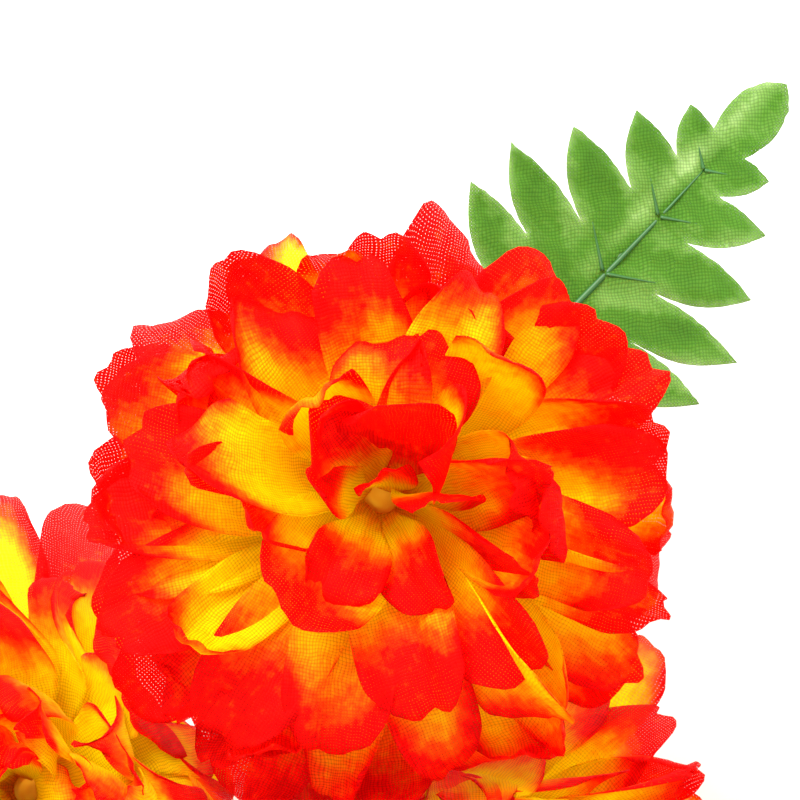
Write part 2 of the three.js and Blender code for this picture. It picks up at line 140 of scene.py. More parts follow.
def cloth_material(name, colours, positions, share, mottle_size, angle, glow, inner, openness):
    """Thin woven cloth in a dyed colour that lets the share glow of the light through.

    The threads lie along the map "cloth", a piece's flat size in millimetres. They have slid apart by inner,
    and by openness where the share "rim" is 1, at the cut edge. The gaps between threads are painted darker
    as shade, and the tops of the threads are painted lighter.
    """
    material = bpy.data.materials.new(name)
    material.use_nodes = True
    tree = material.node_tree
    tree.nodes.clear()
    link = tree.links.new
    colour = dyed_colour(tree, colours, positions, share, mottle_size)
    rim = tree.nodes.new("ShaderNodeAttribute")
    rim.attribute_name = "rim"
    weave = tree.nodes.new("ShaderNodeGroup")
    weave.node_tree = WEAVE
    weave.inputs["Angle"].default_value = angle
    slid = math_node(tree, "MULTIPLY_ADD", rim.outputs["Fac"], openness - inner, inner)
    link(slid, weave.inputs["Openness"])
    # Painted shade and highlight: the colour is darkened in the gaps between threads and lightened on their
    # tops.
    light = math_node(tree, "MULTIPLY_ADD", weave.outputs["Height"], THREAD_TOP_PAINTED_LIGHT, THREAD_GAP_PAINTED_SHADE)
    shade = tree.nodes.new("ShaderNodeMix")
    shade.data_type = "RGBA"
    shade.blend_type = "MULTIPLY"
    shade.inputs["Factor"].default_value = 1.0
    link(colour, shade.inputs[6])
    link(light, shade.inputs[7])
    bump = tree.nodes.new("ShaderNodeBump")
    bump.inputs["Strength"].default_value = 0.6
    bump.inputs["Distance"].default_value = 0.0002
    link(weave.outputs["Height"], bump.inputs["Height"])
    front = tree.nodes.new("ShaderNodeBsdfPrincipled")
    front.inputs["Roughness"].default_value = 0.6
    front.inputs["Specular IOR Level"].default_value = 0.08
    link(shade.outputs[2], front.inputs["Base Color"])
    link(bump.outputs[0], front.inputs["Normal"])
    link(weave.outputs["Cloth"], front.inputs["Alpha"])
    through = tree.nodes.new("ShaderNodeBsdfTranslucent")
    link(colour, through.inputs["Color"])
    body = tree.nodes.new("ShaderNodeMixShader")
    body.inputs[0].default_value = glow
    link(front.outputs[0], body.inputs[1])
    link(through.outputs[0], body.inputs[2])
    # A blade is a closed thin solid: what has come in through one face leaves through the other unhindered.
    side = tree.nodes.new("ShaderNodeNewGeometry")
    clear = tree.nodes.new("ShaderNodeBsdfTransparent")
    whole = tree.nodes.new("ShaderNodeMixShader")
    link(side.outputs["Backfacing"], whole.inputs[0])
    link(body.outputs[0], whole.inputs[1])
    link(clear.outputs[0], whole.inputs[2])
    out = tree.nodes.new("ShaderNodeOutputMaterial")
    link(whole.outputs[0], out.inputs["Surface"])
    return material


def add_mesh(name, points, faces, material, node, cloth=None, shares=None):
    """A smooth mesh from points in millimetres, with the cloth's flat size and the named shares there."""
    mesh = bpy.data.meshes.new(name)
    mesh.from_pydata(((np.asarray(points) - BASE_MIDDLE) * METRES).tolist(), [], faces)
    mesh.shade_smooth()
    if cloth is not None:
        corners = np.empty(len(mesh.loops), dtype=np.int32)
        mesh.loops.foreach_get("vertex_index", corners)
        layer = mesh.uv_layers.new(name="cloth")
        layer.uv.foreach_set("vector", np.asarray(cloth, dtype=np.float32)[corners].ravel())
    for label, numbers in (shares or {}).items():
        attribute = mesh.attributes.new(label, "FLOAT", "POINT")
        attribute.data.foreach_set("value", np.asarray(numbers, dtype=np.float32))
    piece = bpy.data.objects.new(name, mesh)
    bpy.context.scene.collection.objects.link(piece)
    mesh.materials.append(material)
    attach(piece, "root")
    if node:
        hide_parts(node)
    return piece


def grid_quads(rows, columns):
    """The four-cornered faces of a grid of points that are numbered row by row."""
    p = (np.arange(rows - 1)[:, None] * columns + np.arange(columns - 1)).ravel()
    return np.stack([p, p + columns, p + columns + 1, p + 1], -1)


def rod_faces(rings, sides):
    """The walls and the two end caps of a rod whose points are numbered ring by ring."""
    faces = []
    for low in range(0, (rings - 1) * sides, sides):
        for k in range(sides):
            m = (k + 1) % sides
            faces.append((low + k, low + m, low + sides + m, low + sides + k))
    faces.append(tuple(reversed(range(sides))))
    faces.append(tuple(range((rings - 1) * sides, rings * sides)))
    return faces


def turned(profile, sides):
    """The points of a body turned about z, from the radius and the height of each of its rings."""
    turns = 2 * math.pi * np.arange(sides) / sides
    rings = [np.stack([r * np.cos(turns), r * np.sin(turns), np.full(sides, h)], -1) for r, h in profile]
    return np.concatenate(rings)


def draws(seed):
    """A repeatable row of random numbers from -1 to 1."""
    largest = 2147483647
    state = seed * 7919 + 1
    while True:
        state = (state * 16807) % largest
        yield (state / largest) * 2 - 1


def smooth(a, b, x):
    """0 below a and 1 above b, with a soft step between them."""
    t = np.clip((x - a) / (b - a), 0, 1)
    return t * t * (3 - 2 * t)


CORE_RADIUS = 7.5
CORE_HEIGHT = 22
PEG_BOTTOM = -1.2
PEG_SIDES = 24
ROOT_RADIUS = 3
DOME_MIDDLE = 18  # how far a head's middle lies above its lowest layer
HEAD_REACH = 63  # how far its petals come from its middle
FIRM = {"a": 0.72}  # the share of the room between two heads that this one keeps, the others half
TILT = 0.5  # how much flatter the plane between two heads lies than square to the line between them
ON_NEIGHBOUR = (7, 0.4)  # how far off a petal starts to give way, and how near it can come
ON_TABLE = (7, 0.32)
PRESS_ROUNDS = 3
SHINGLE = 0.2  # how far each petal is turned to lie over its neighbour
SPREAD = {"a": -0.1}  # how much longer the petals on one side of a head are, and shorter on the other
SPREAD_OF_OTHERS = 0.08
TIP_ROUND = 0.16
PETAL_CLOTH = 0.3
CUT_STEP = 40  # how far apart on the flat cloth petals are cut, so that the dye's streaks differ
CUT_PLACES = 9
DETAIL_DRAWS = 500  # sets the draws for a petal's detail apart from those for its shape
ROWS, COLUMNS = 17, 13
BEND_STEPS = 16

# Each layer: petals, height of the root, length, width, elevation at the root, arch over the length, cup.
LAYERS = [
    (18, 1.5, 65, 24, 3, -2, 0.35),
    (17, 4.0, 63, 24, 15, -8, 0.40),
    (15, 7.0, 60, 23, 28, -16, 0.45),
    (14, 10.0, 54, 20, 41, -20, 0.50),
    (12, 13.0, 48, 18, 52, -24, 0.55),
    (9, 16.0, 41, 16, 63, -28, 0.55),
    (6, 18.0, 34, 15, 74, -34, 0.55),
]
# Each head: where its middle is, which way it faces, how far it is turned on its axis, its size, its draws.
HEADS = {
    "a": {"middle": (-3, -1, 120), "faces": (-0.08, -0.38, 0.92), "turn": 0, "scale": 1.04, "seed": 16},
    "b": {"middle": (-81, -60, 89), "faces": (-0.2, -0.15, 0.97), "turn": 20, "scale": 1.02, "seed": 10},
    "c": {"middle": (-45, -157, 62), "faces": (-0.15, 0.2, 0.97), "turn": 35, "scale": 0.97, "seed": 37},
    "d": {"middle": (12, -82, 80), "faces": (0.08, -0.25, 0.96), "turn": 10, "scale": 1.02, "seed": 13},
    "e": {"middle": (-172, -29, 47), "faces": (-0.55, 0.35, 0.75), "turn": 50, "scale": 0.96, "seed": 52},
    "f": {"middle": (135, -100, 48), "faces": (0.6, 0.25, 0.76), "turn": 15, "scale": 0.96, "seed": 24},
    "g": {"middle": (60, -182, 60), "faces": (0.15, 0.15, 0.97), "turn": 5, "scale": 0.96, "seed": 71},
}
# How far a petal's draws go to either side of its layer's values.
DRAWN = {
    "azimuth": 0.22,
    "length": 0.05,
    "width": 0.15,
    "elevation": 8,
    "arch": 26,
    "cup": 0.25,
    "twist": 0.7,
    "end": 1.3,
    "side": 7,
}
# Petals of the topmost head, as someone has bent them: azimuth, height of the root, length, width, elevation,
# arch, curl, cup, twist, turn of the end, shift to the side, and how much of it is red.
BENT = [
    (70, 18, 26, 14, 68, -10, 40, 0.50, 0.3, 0.5, 2, 0.40),
    (140, 18, 26, 14, 66, -10, -70, 0.50, 0.4, 0.4, -2, 0.40),
    (-120, 18, 28, 18, 72, -50, -45, 0.35, 0.1, -0.3, 0, 0.55),
    (-52, 17, 31, 17, 66, -50, -45, 0.40, 0.1, 0.3, 0, 0.5),
    (21, 16, 38, 18, 60, -15, 90, 0.50, 0.9, 0.6, 2, 0.4),
    (75, 13, 48, 25, 54, -6, 20, 0.35, 0.0, 0.3, 0, 0.8),
    (108, 15, 38, 19, 60, -20, -70, 0.50, 0.3, 0.2, 0, 0.45),
    (112, 12, 46, 14, 50, 0, 50, 0.80, 0.3, 0.2, -2, 0.7),
    (162, 11, 52, 15, 42, -10, 30, 1.10, 0.5, 0.2, 0, 0.5),
    (182, 13, 42, 18, 52, -20, 110, 0.60, 0.4, 0.4, 0, 0.4),
    (-138, 12, 40, 31, 67, -34, 10, 0.50, 0.0, 0.0, 0, 0.25),
    (-157, 7, 66, 25, 34, -36, 0, 0.40, 0.2, 0.1, 0, 0.32),
    (-141, 5, 70, 25, 26, -34, -10, 0.35, 0.1, 0.1, 0, 0.36),
    (-126, 9, 64, 25, 42, -50, -10, 0.35, 0.1, -0.1, 0, 0.4),
    (-101, 10, 57, 25, 46, -58, -10, 0.45, 0.0, 0.1, 0, 0.26),
    (-74, 12, 50, 24, 52, -60, -10, 0.45, 0.1, 0.0, 0, 0.38),
    (-43, 11, 53, 24, 50, -58, -10, 0.45, 0.2, 0.1, 0, 0.4),
    (-18, 12, 48, 21, 50, -30, 40, 0.55, 0.5, 0.4, 3, 0.5),
    (-114, 3, 77, 25, 12, -10, 0, 0.35, 0.1, 0.1, 0, 0.3),
]
PETAL = cloth_material(
    "petal cloth",
    [
        (0.93, 0.76, 0.0),
        (0.93, 0.58, 0.0),
        (0.93, 0.28, 0.0),
        (0.93, 0.075, 0.0),
        (0.93, 0.003, 0.0),
        (0.72, 0.0, 0.0),
    ],
    [0.2, 0.44, 0.64, 0.86],
    share="dye_and_shade",
    mottle_size=330,
    angle=0.1,
    glow=0.5,
    inner=0.0,
    openness=1.0,
)


def head_frame(head):
    """The head's own x, y and z directions as rows, and where its lowest layer meets the peg."""
    z = Vector(head["faces"]).normalized()
    x = (Vector((1, 0, 0)) - z * z.x).normalized()
    y = z.cross(x)
    turn = math.radians(head["turn"])
    x, y = x * math.cos(turn) + y * math.sin(turn), y * math.cos(turn) - x * math.sin(turn)
    at = Vector(head["middle"]) - z * DOME_MIDDLE * head["scale"]
    return np.array([x, y, z]), np.array(at)


def planes_around(name):
    """The table and the planes between this head and its neighbours that its petals stay behind."""
    middle = Vector(HEADS[name]["middle"])
    planes = [(np.zeros(3), np.array([0, 0, 1.0]), *ON_TABLE)]
    for other_name, other in HEADS.items():
        towards = Vector(other["middle"]) - middle
        apart = towards.length
        if other_name == name or apart > 2 * HEAD_REACH:
            continue
        share = FIRM.get(name, 1 - FIRM.get(other_name, 0.5))
        flatten = Vector((0, 0, 1 if towards.z < 0 else -1))
        normal = (-towards.normalized() + flatten * TILT * 2 * abs(towards.z) / apart).normalized()
        planes.append((np.array(middle + towards * share), np.array(normal), *ON_NEIGHBOUR))
    return planes


def press(points, planes):
    """Points moved so that they give way to each plane softly and none comes nearer to it than its gap."""
    for origin, normal, reach, gap in planes:
        distance = (points - origin) @ normal
        room = reach - gap
        kept = gap + room * np.exp(np.minimum(distance - reach, 0) / room)
        points = points + np.where(distance < reach, kept - distance, 0)[:, None] * normal
    for _ in range(PRESS_ROUNDS):
        for origin, normal, _, gap in planes:
            distance = (points - origin) @ normal
            points = points + np.maximum(gap - distance, 0)[:, None] * normal
    return points


def petal_shape(layer, k, turn, scale, spread, random):
    """How petal k of a layer leaves the peg and bends; the steeper the layer stands, the looser the draws."""
    count, height, length, width, elevation, arch, cup = layer
    length, width = length * scale, width * scale
    curl = next(random)
    azimuth = 2 * math.pi * (k + turn + DRAWN["azimuth"] * next(random)) / count
    loose = 0.45 + elevation / 90
    return {
        "azimuth": azimuth,
        "height": height,
        "length": length * (1 + DRAWN["length"] * next(random) + spread * math.sin(azimuth)),
        "half": width / 2 * (1 + DRAWN["width"] * next(random)),
        "elevation": math.radians(elevation + (DRAWN["elevation"] + 6 * loose) * next(random)),
        "arch": math.radians(arch + DRAWN["arch"] * next(random) + 16 * math.sin(azimuth)),
        "curl": math.radians(curl * (120 + 90 * loose if abs(curl) > 0.42 - 0.25 * loose else 50)),
        "cup": cup + DRAWN["cup"] * next(random),
        "twist": SHINGLE + DRAWN["twist"] * loose * next(random),
        "end": DRAWN["end"] * loose * next(random),
        "side": DRAWN["side"] * next(random),
    }


def bent_shape(spec, scale):
    """The same values for a petal that is bent by hand."""
    azimuth, height, length, width, elevation, arch, curl, cup, twist, end, side, _ = spec
    return {
        "azimuth": math.radians(azimuth),
        "height": height,
        "length": length * scale,
        "half": width / 2 * scale,
        "elevation": math.radians(elevation),
        "arch": math.radians(arch),
        "curl": math.radians(curl),
        "cup": cup,
        "twist": twist,
        "end": end,
        "side": side,
    }


def petal_detail(random):
    """What the cloth does between its main folds: the scallops of its end, creases, ruffles, and its dye."""
    lobes = 2 if next(random) > -0.2 else 3
    start = -0.05 + 0.2 * next(random)
    return {
        "notches": [start] if lobes == 2 else [start - 0.38, start + 0.38],
        "depth": 0.035 + 0.02 * next(random),
        "creases": [(0.8 * next(random), 1.3 * next(random)) for _ in range(4)],
        "ruffle": 1.1 + 0.9 * next(random),
        "waves": 9 + 3 * next(random),
        "phase": 3 * next(random),
        "red": 0.27 + 0.15 * next(random),
        "flank": 0.22 + 0.22 * next(random),
        "stain": 5 * next(random),
        "lean": 0.12 * next(random),
        "fray": [next(random) for _ in range(COLUMNS)],
    }


def petal_mesh(shape, detail):
    """Middle points of a petal in its head's frame, with the cloth's flat size, dye with painted shade, and
    open rim there.
    """
    u = (1 - (1 - np.linspace(0.02, 1, ROWS)) ** 1.15)[:, None] * np.ones(COLUMNS)
    v = np.ones(ROWS)[:, None] * np.linspace(-1, 1, COLUMNS)
    ends = 1 - TIP_ROUND * np.abs(v) ** 2.6
    for notch in detail["notches"]:
        ends = ends - detail["depth"] * np.exp(-(((v - notch) / 0.2) ** 2))
    ends = ends + 0.005 * np.array(detail["fray"])
    along = u * (1 + (ends - 1) * u**3)
    steps = (np.arange(BEND_STEPS)[:, None, None] + 0.5) / BEND_STEPS * along
    slope = shape["elevation"] + shape["arch"] * steps * steps + shape["curl"] * steps**5
    reach = ROOT_RADIUS + (np.cos(slope) * shape["length"] * along / BEND_STEPS).sum(axis=0)
    rise = shape["height"] + (np.sin(slope) * shape["length"] * along / BEND_STEPS).sum(axis=0)
    steep = shape["elevation"] + shape["arch"] * along**2 + shape["curl"] * along**5
    half = shape["half"] * (0.16 + 0.84 * smooth(-0.05, 0.62, u)) * (1 - 0.14 * u**8)
    bow = shape["cup"] * smooth(0, 0.4, u) + 1e-3
    across = half * np.sin(v * bow) / bow
    lift = half * (1 - np.cos(v * bow)) / bow
    free = smooth(0.15, 0.7, u)
    for place, depth in detail["creases"]:
        lift = lift + depth * free * np.exp(-(((v - place) / 0.18) ** 2))
    ruffle = detail["ruffle"] * np.sin(detail["waves"] * u + detail["phase"] + 1.5 * v)
    lift = lift + ruffle * np.abs(v) ** 2.5 * smooth(0.4, 1, u)
    turned = shape["twist"] * smooth(0, 0.3, u) + shape["end"] * u**2
    sideways = across * np.cos(turned) - lift * np.sin(turned) + shape["side"] * u * u
    outwards = across * np.sin(turned) + lift * np.cos(turned)
    radius = reach - outwards * np.sin(steep)
    c, s = math.cos(shape["azimuth"]), math.sin(shape["azimuth"])
    height = rise + outwards * np.cos(steep)
    points = np.stack([radius * c - sideways * s, radius * s + sideways * c, height], -1)
    cloth = np.stack([half * v, along * shape["length"]], -1)
    edge = np.maximum(smooth(0.7, 1.0, u), smooth(0.7, 1.0, np.abs(v)) * smooth(0.3, 0.7, u))
    stain = detail["stain"]
    blot = 0.10 * np.sin(3.1 * v + stain) * np.cos(4.2 * u + stain * 1.7) + detail["lean"] * v
    start = 1 - detail["red"]
    flank = smooth(0.45, 1.05, np.abs(v)) * smooth(0.25, 0.6, u)
    # Painted shade: each petal's root, deep in the head, is painted more orange.
    painted_throat_shade = 0.34 * (1 - smooth(0.05, 0.32, u))
    sprayed = smooth(start - 0.25, start + 0.2, u + blot) * 0.92
    dye_and_shade = np.clip(sprayed + detail["flank"] * flank + painted_throat_shade, 0, 1)
    return points, cloth, dye_and_shade, edge


def thin_solid(points, thickness):
    """Front and back points of a closed blade round a grid of middle points."""
    du = np.gradient(points, axis=0)
    dv = np.gradient(points, axis=1)
    normal = np.cross(du, dv)
    normal /= np.linalg.norm(normal, axis=-1, keepdims=True) + 1e-9
    return points + normal * thickness / 2, points - normal * thickness / 2


def blade_faces(rows, columns):
    """The faces of a blade: its front, its back, and the rim between them."""
    count = rows * columns
    front = grid_quads(rows, columns)
    back = front[:, ::-1] + count
    index = np.arange(count).reshape(rows, columns)
    loop = np.concatenate([index[0, :], index[1:, -1], index[-1, -2::-1], index[-2:0:-1, 0]])
    after = np.roll(loop, -1)
    rim = np.stack([loop, after, after + count, loop + count], -1)
    return np.concatenate([front, back, rim])


BLADE = blade_faces(ROWS, COLUMNS)


def head_petals(name):
    """The shape and the detail of each petal of a head."""
    head = HEADS[name]
    random, fine = draws(head["seed"]), draws(head["seed"] + DETAIL_DRAWS)
    spread = SPREAD.get(name, SPREAD_OF_OTHERS)
    petals = []
    for n, layer in enumerate(LAYERS):
        for k in range(layer[0]):
            shape = petal_shape(layer, k, 0.5 * n, head["scale"], spread, random)
            if name != "a" or n < 3 or (n == 3 and math.sin(shape["azimuth"]) > -0.3):
                detail = petal_detail(fine)
                petals.append((shape, detail | {"red": detail["red"] * (1.0 - 0.06 * n)}))
    if name == "a":
        for spec in BENT:
            detail = petal_detail(fine) | {"red": spec[-1], "lean": 0.0}
            petals.append((bent_shape(spec, head["scale"]), detail))
    return petals


def build_head(name):
    """All the petals of a head as one mesh, and the peg that they are pushed onto."""
    head = HEADS[name]
    axes, at = head_frame(head)
    planes = planes_around(name)
    points, cloth, dye_and_shade, rim, faces = [], [], [], [], []
    for shape, detail in head_petals(name):
        middle, flat, colour, edge = petal_mesh(shape, detail)
        placed = press(middle.reshape(-1, 3) @ axes + at, planes).reshape(middle.shape)
        faces.append(BLADE + 2 * ROWS * COLUMNS * (len(points) // 2))
        for side in thin_solid(placed, PETAL_CLOTH):
            points.append(side.reshape(-1, 3))
            cloth.append(flat.reshape(-1, 2) + CUT_STEP * (len(faces) % CUT_PLACES))
            dye_and_shade.append(colour.ravel())
            rim.append(edge.ravel())
    faces = np.concatenate(faces).tolist()
    shares = {"dye_and_shade": np.concatenate(dye_and_shade), "rim": np.concatenate(rim)}
    node, flats = "head_" + name, np.concatenate(cloth)
    add_mesh("petals_" + name, np.concatenate(points), faces, PETAL, node, flats, shares)
    profile = [
        (CORE_RADIUS, PEG_BOTTOM),
        (CORE_RADIUS * 0.7, CORE_HEIGHT * 0.35),
        (CORE_RADIUS * 0.25, CORE_HEIGHT * 0.5),
    ]
    peg = turned(profile, PEG_SIDES) @ axes + at
    add_mesh("peg_" + name, peg, rod_faces(len(profile), PEG_SIDES), PEG, None)


def plain_material(name, colour, roughness, mottle, size):
    """Moulded plastic: one colour, a little lighter and darker in patches, with a fine uneven surface."""
    material = bpy.data.materials.new(name)
    material.use_nodes = True
    tree = material.node_tree
    body = tree.nodes["Principled BSDF"]
    place = tree.nodes.new("ShaderNodeTexCoord")
    noise = tree.nodes.new("ShaderNodeTexNoise")
    noise.inputs["Scale"].default_value = size
    noise.inputs["Detail"].default_value = 4
    tree.links.new(place.outputs["Object"], noise.inputs["Vector"])
    ramp = tree.nodes.new("ShaderNodeValToRGB")
    ramp.color_ramp.elements[0].color = (*[c * (1 - mottle) for c in colour], 1)
    ramp.color_ramp.elements[1].color = (*[min(c * (1 + mottle), 1) for c in colour], 1)
    tree.links.new(noise.outputs[0], ramp.inputs[0])
    tree.links.new(ramp.outputs[0], body.inputs["Base Color"])
    bump = tree.nodes.new("ShaderNodeBump")
    bump.inputs["Strength"].default_value = 0.25
    bump.inputs["Distance"].default_value = 0.0003
    tree.links.new(noise.outputs[0], bump.inputs["Height"])
    tree.links.new(bump.outputs[0], body.inputs["Normal"])
    body.inputs["Roughness"].default_value = roughness
    return material


PEG = plain_material("yellow peg", (0.9, 0.5, 0.0), roughness=0.8, mottle=0.1, size=300)
for name in HEADS:
    build_head(name)

# Stems and calyxes: each head sits on a ribbed green plastic cup, plugged onto a bendable wire stem with a
# grooved plastic skin. A stem is straight in its socket and in the calyx, and bent between them.
STEM_RADIUS = 2.2
GAP = 0.3
CROWN_RADIUS = 11
TRUNK_RADIUS = 5.5
SOCKET_DEPTH = 14
SOCKET_RING = 6.6
STEM_BENDS = 12
BEND_POINTS = 401
SKIN_STEPS = 64
SKIN_GROOVES = 10
SKIN_GROOVE = 0.16
CALYX_RADIUS = 8
CALYX_HEIGHT = 13
CALYX_TOP = PEG_BOTTOM - GAP
PLUG_DEPTH = 9
TRUNK_END = Vector((-4, -405, 5.45))
CROWN = Vector((0, -275, 24))
TRUNK_AXIS = (CROWN - TRUNK_END).normalized()
# Each stem: the angle and share of the ring that its socket is at, which way it leaves the crown, and how
# strongly it keeps to that way there and to the head's way at the other end.
STEMS = {
    "a": {"socket": (0, 0), "leaves": (-0.04, 1, -0.02), "pull": 150, "push": 62},
    "b": {"socket": (240, 1), "leaves": (-0.22, 0.97, -0.06), "pull": 110, "push": 40},
    "c": {"socket": (120, 1), "leaves": (-0.35, 0.93, 0.1), "pull": 50, "push": 26},
    "d": {"socket": (300, 1), "leaves": (0.06, 1, -0.05), "pull": 100, "push": 40},
    "e": {"socket": (180, 1), "leaves": (-0.5, 0.86, 0), "pull": 120, "push": 40},
    "f": {"socket": (0, 1), "leaves": (0.5, 0.86, -0.13), "pull": 90, "push": 36},
    "g": {"socket": (60, 1), "leaves": (0.35, 0.93, 0.18), "pull": 50, "push": 22},
}
PLASTIC = plain_material("green plastic", (0.02, 0.085, 0.012), roughness=0.5, mottle=0.25, size=120)


def stem_curve(name, count):
    """A stem's middle line in count even steps along its bend, with a plugged end before and after."""
    head, stem = HEADS[name], STEMS[name]
    axes, at = head_frame(head)
    faces = Vector(head["faces"]).normalized()
    seat = Vector(axes[2] * (CALYX_TOP - CALYX_HEIGHT - 1) + at)
    tip = seat + faces * (PLUG_DEPTH + 1)
    right = (Vector((1, 0, 0)) - TRUNK_AXIS * TRUNK_AXIS.x).normalized()
    up = right.cross(TRUNK_AXIS)
    angle, share = math.radians(stem["socket"][0]), stem["socket"][1]
    foot = CROWN + (right * math.cos(angle) + up * math.sin(angle)) * SOCKET_RING * share
    mouth = foot + TRUNK_AXIS * (SOCKET_DEPTH + 1)
    leaves = Vector(stem["leaves"]).normalized()
    corners = [mouth, mouth + leaves * stem["pull"], seat - faces * stem["push"], seat]
    t = np.linspace(0, 1, BEND_POINTS)[:, None]
    weights = [(1 - t) ** 3, 3 * t * (1 - t) ** 2, 3 * t * t * (1 - t), t**3]
    bend = sum(w * np.array(p) for w, p in zip(weights, corners))
    length = np.concatenate([[0], np.cumsum(np.linalg.norm(np.diff(bend, axis=0), axis=1))])
    even = np.linspace(0, length[-1], count + 1)
    spaced = np.stack([np.interp(even, length, bend[:, i]) for i in range(3)], -1)
    return np.concatenate([[np.array(foot)], spaced, [np.array(tip)]])


def tube(line, radius_at, sides):
    """A closed rod along line; radius_at takes the step and the turn about the line."""
    tangents = np.gradient(line, axis=0)
    tangents /= np.linalg.norm(tangents, axis=1, keepdims=True)
    across = np.cross([0, 0, 1.0], tangents[0])
    points = []
    for i, (at, tangent) in enumerate(zip(line, tangents)):
        across = across - tangent * (across @ tangent)
        across /= np.linalg.norm(across)
        up = np.cross(tangent, across)
        for k in range(sides):
            turn = 2 * math.pi * k / sides
            points.append(at + radius_at(i, turn) * (across * math.cos(turn) + up * math.sin(turn)))
    return np.array(points), rod_faces(len(line), sides)


def lathe(profile, sides, ribs=0, rib_depth=0.0):
    """A closed ring-shaped or solid turned body about z from (radius, height) corners, ribbed if wanted."""
    points, faces = [], []
    for radius, height in profile:
        for k in range(sides):
            turn = 2 * math.pi * k / sides
            r = radius * (1 - rib_depth * (0.5 - 0.5 * math.cos(ribs * turn)))
            points.append((r * math.cos(turn), r * math.sin(turn), height))
    for i in range(len(profile)):
        j = (i + 1) % len(profile)
        for k in range(sides):
            m = (k + 1) % sides
            faces.append((i * sides + k, i * sides + m, j * sides + m, j * sides + k))
    return np.array(points), faces


def skin_radius(step, turn):
    """The radius of a stem's skin, with shallow grooves that run along it."""
    return STEM_RADIUS - SKIN_GROOVE * math.cos(turn * SKIN_GROOVES / 2) ** 6


for name, head in HEADS.items():
    node = "stem_" + name
    skin, walls = tube(stem_curve(name, SKIN_STEPS), skin_radius, 20)
    add_mesh(node + "_skin", skin, walls, PLASTIC, node)
    axes, at = head_frame(head)
    bottom = CALYX_TOP - CALYX_HEIGHT
    bore = STEM_RADIUS + GAP
    profile = [
        (bore, bottom + 0.3),
        (bore + 0.4, bottom),
        (STEM_RADIUS + 1.5, bottom),
        (STEM_RADIUS + 1.8, bottom + 0.8),
        (STEM_RADIUS + 2.3, bottom + 5),
        (STEM_RADIUS + 3.4, bottom + 8),
        (CALYX_RADIUS - 0.8, CALYX_TOP - 2.6),
        (CALYX_RADIUS, CALYX_TOP - 1.2),
        (CALYX_RADIUS, CALYX_TOP - 0.3),
        (CALYX_RADIUS - 0.4, CALYX_TOP),
        (1.0, CALYX_TOP),
        (1.0, bottom + PLUG_DEPTH + 1.5),
        (bore, bottom + PLUG_DEPTH + 1.2),
    ]
    cup, walls = lathe(profile, 60, ribs=10, rib_depth=0.07)
    node = "calyx_" + name
    add_mesh(node + "_cup", cup @ axes + at, walls, PLASTIC, node)

# Main stem: one moulded green plastic stem, with its cut end on the table and a swollen crown whose seven
# sockets hold the stems.
TRUNK_SIDES = 48
length = (CROWN - TRUNK_END).length
crown_top = length + SOCKET_DEPTH
profile = [
    (TRUNK_RADIUS - 0.5, 0),
    (TRUNK_RADIUS, 0.5),
    (TRUNK_RADIUS, length * 0.3),
    (TRUNK_RADIUS, length * 0.6),
    (TRUNK_RADIUS, length - 31),
    (TRUNK_RADIUS + 0.4, length - 28),
    (CROWN_RADIUS - 0.8, length - 10.5),
    (CROWN_RADIUS, length - 8),
    (CROWN_RADIUS, crown_top - 2),
    (CROWN_RADIUS - 0.6, crown_top - 0.6),
    (CROWN_RADIUS - 2, crown_top),
]
right = (Vector((1, 0, 0)) - TRUNK_AXIS * TRUNK_AXIS.x).normalized()
basis = np.array([right, TRUNK_AXIS.cross(right), TRUNK_AXIS])
body = turned(profile, TRUNK_SIDES) @ basis + np.array(TRUNK_END)
walls = rod_faces(len(profile), TRUNK_SIDES)
trunk = add_mesh("trunk", body, walls, PLASTIC, "main_stem")
cutters = []
for name in STEMS:
    foot, mouth = stem_curve(name, STEM_BENDS)[:2]
    away = (mouth - foot) / np.linalg.norm(mouth - foot)
    line = np.array([foot - away * GAP, mouth + away * 2])
    points, faces = tube(line, lambda i, turn: STEM_RADIUS + GAP, 20)
    mesh = bpy.data.meshes.new("socket_" + name)
    mesh.from_pydata(((points - BASE_MIDDLE) * METRES).tolist(), [], faces)
    cutter = bpy.data.objects.new("socket_" + name, mesh)
    bpy.context.scene.collection.objects.link(cutter)
    cut = trunk.modifiers.new("socket", "BOOLEAN")
    cut.operation = "DIFFERENCE"
    cut.solver = "EXACT"
    cut.object = cutter
    cutters.append(cutter)
graph = bpy.context.evaluated_depsgraph_get()
hollowed = bpy.data.meshes.new_from_object(trunk.evaluated_get(graph))
trunk.modifiers.clear()
trunk.data = hollowed
hollowed.set_sharp_from_angle(angle=math.radians(35))
for cutter in cutters:
    bpy.data.objects.remove(cutter)

# Leaves: green cloth cut into lobes, on a moulded plastic midrib with side veins and a short stalk, whose
# collar is slid on a stem. The cloth is pleated along each vein, with painted light on one side of each pleat
# and painted shade on the other, paler by the midrib where a sheen is painted, and paler at cut edges.
COLLAR_LENGTH = 7
COLLAR_WALL = 1.2
RIB_DEPTH = 1.4
RIB_RADIUS = 1.1
RIB_LENGTH = 74
VEIN_STEPS = 13
VEIN_LEAN = 0.68  # how far along a side vein runs for each step across
FOLD = 0.16  # how steeply the two halves of a blade rise from its midrib
SAG = 12  # how far its tip hangs
LEAF_TIP = 93
LEAF_HALF = 36  # half the width of the cloth that a blade is cut from
LEAF_GRID = 1.6
EDGE_STEP = 1.3
EDGE_FRAY = 0.15
LEAF_CLOTH = 0.4
LEAF_DRAWS = 900  # sets the leaves' draws apart from the heads'
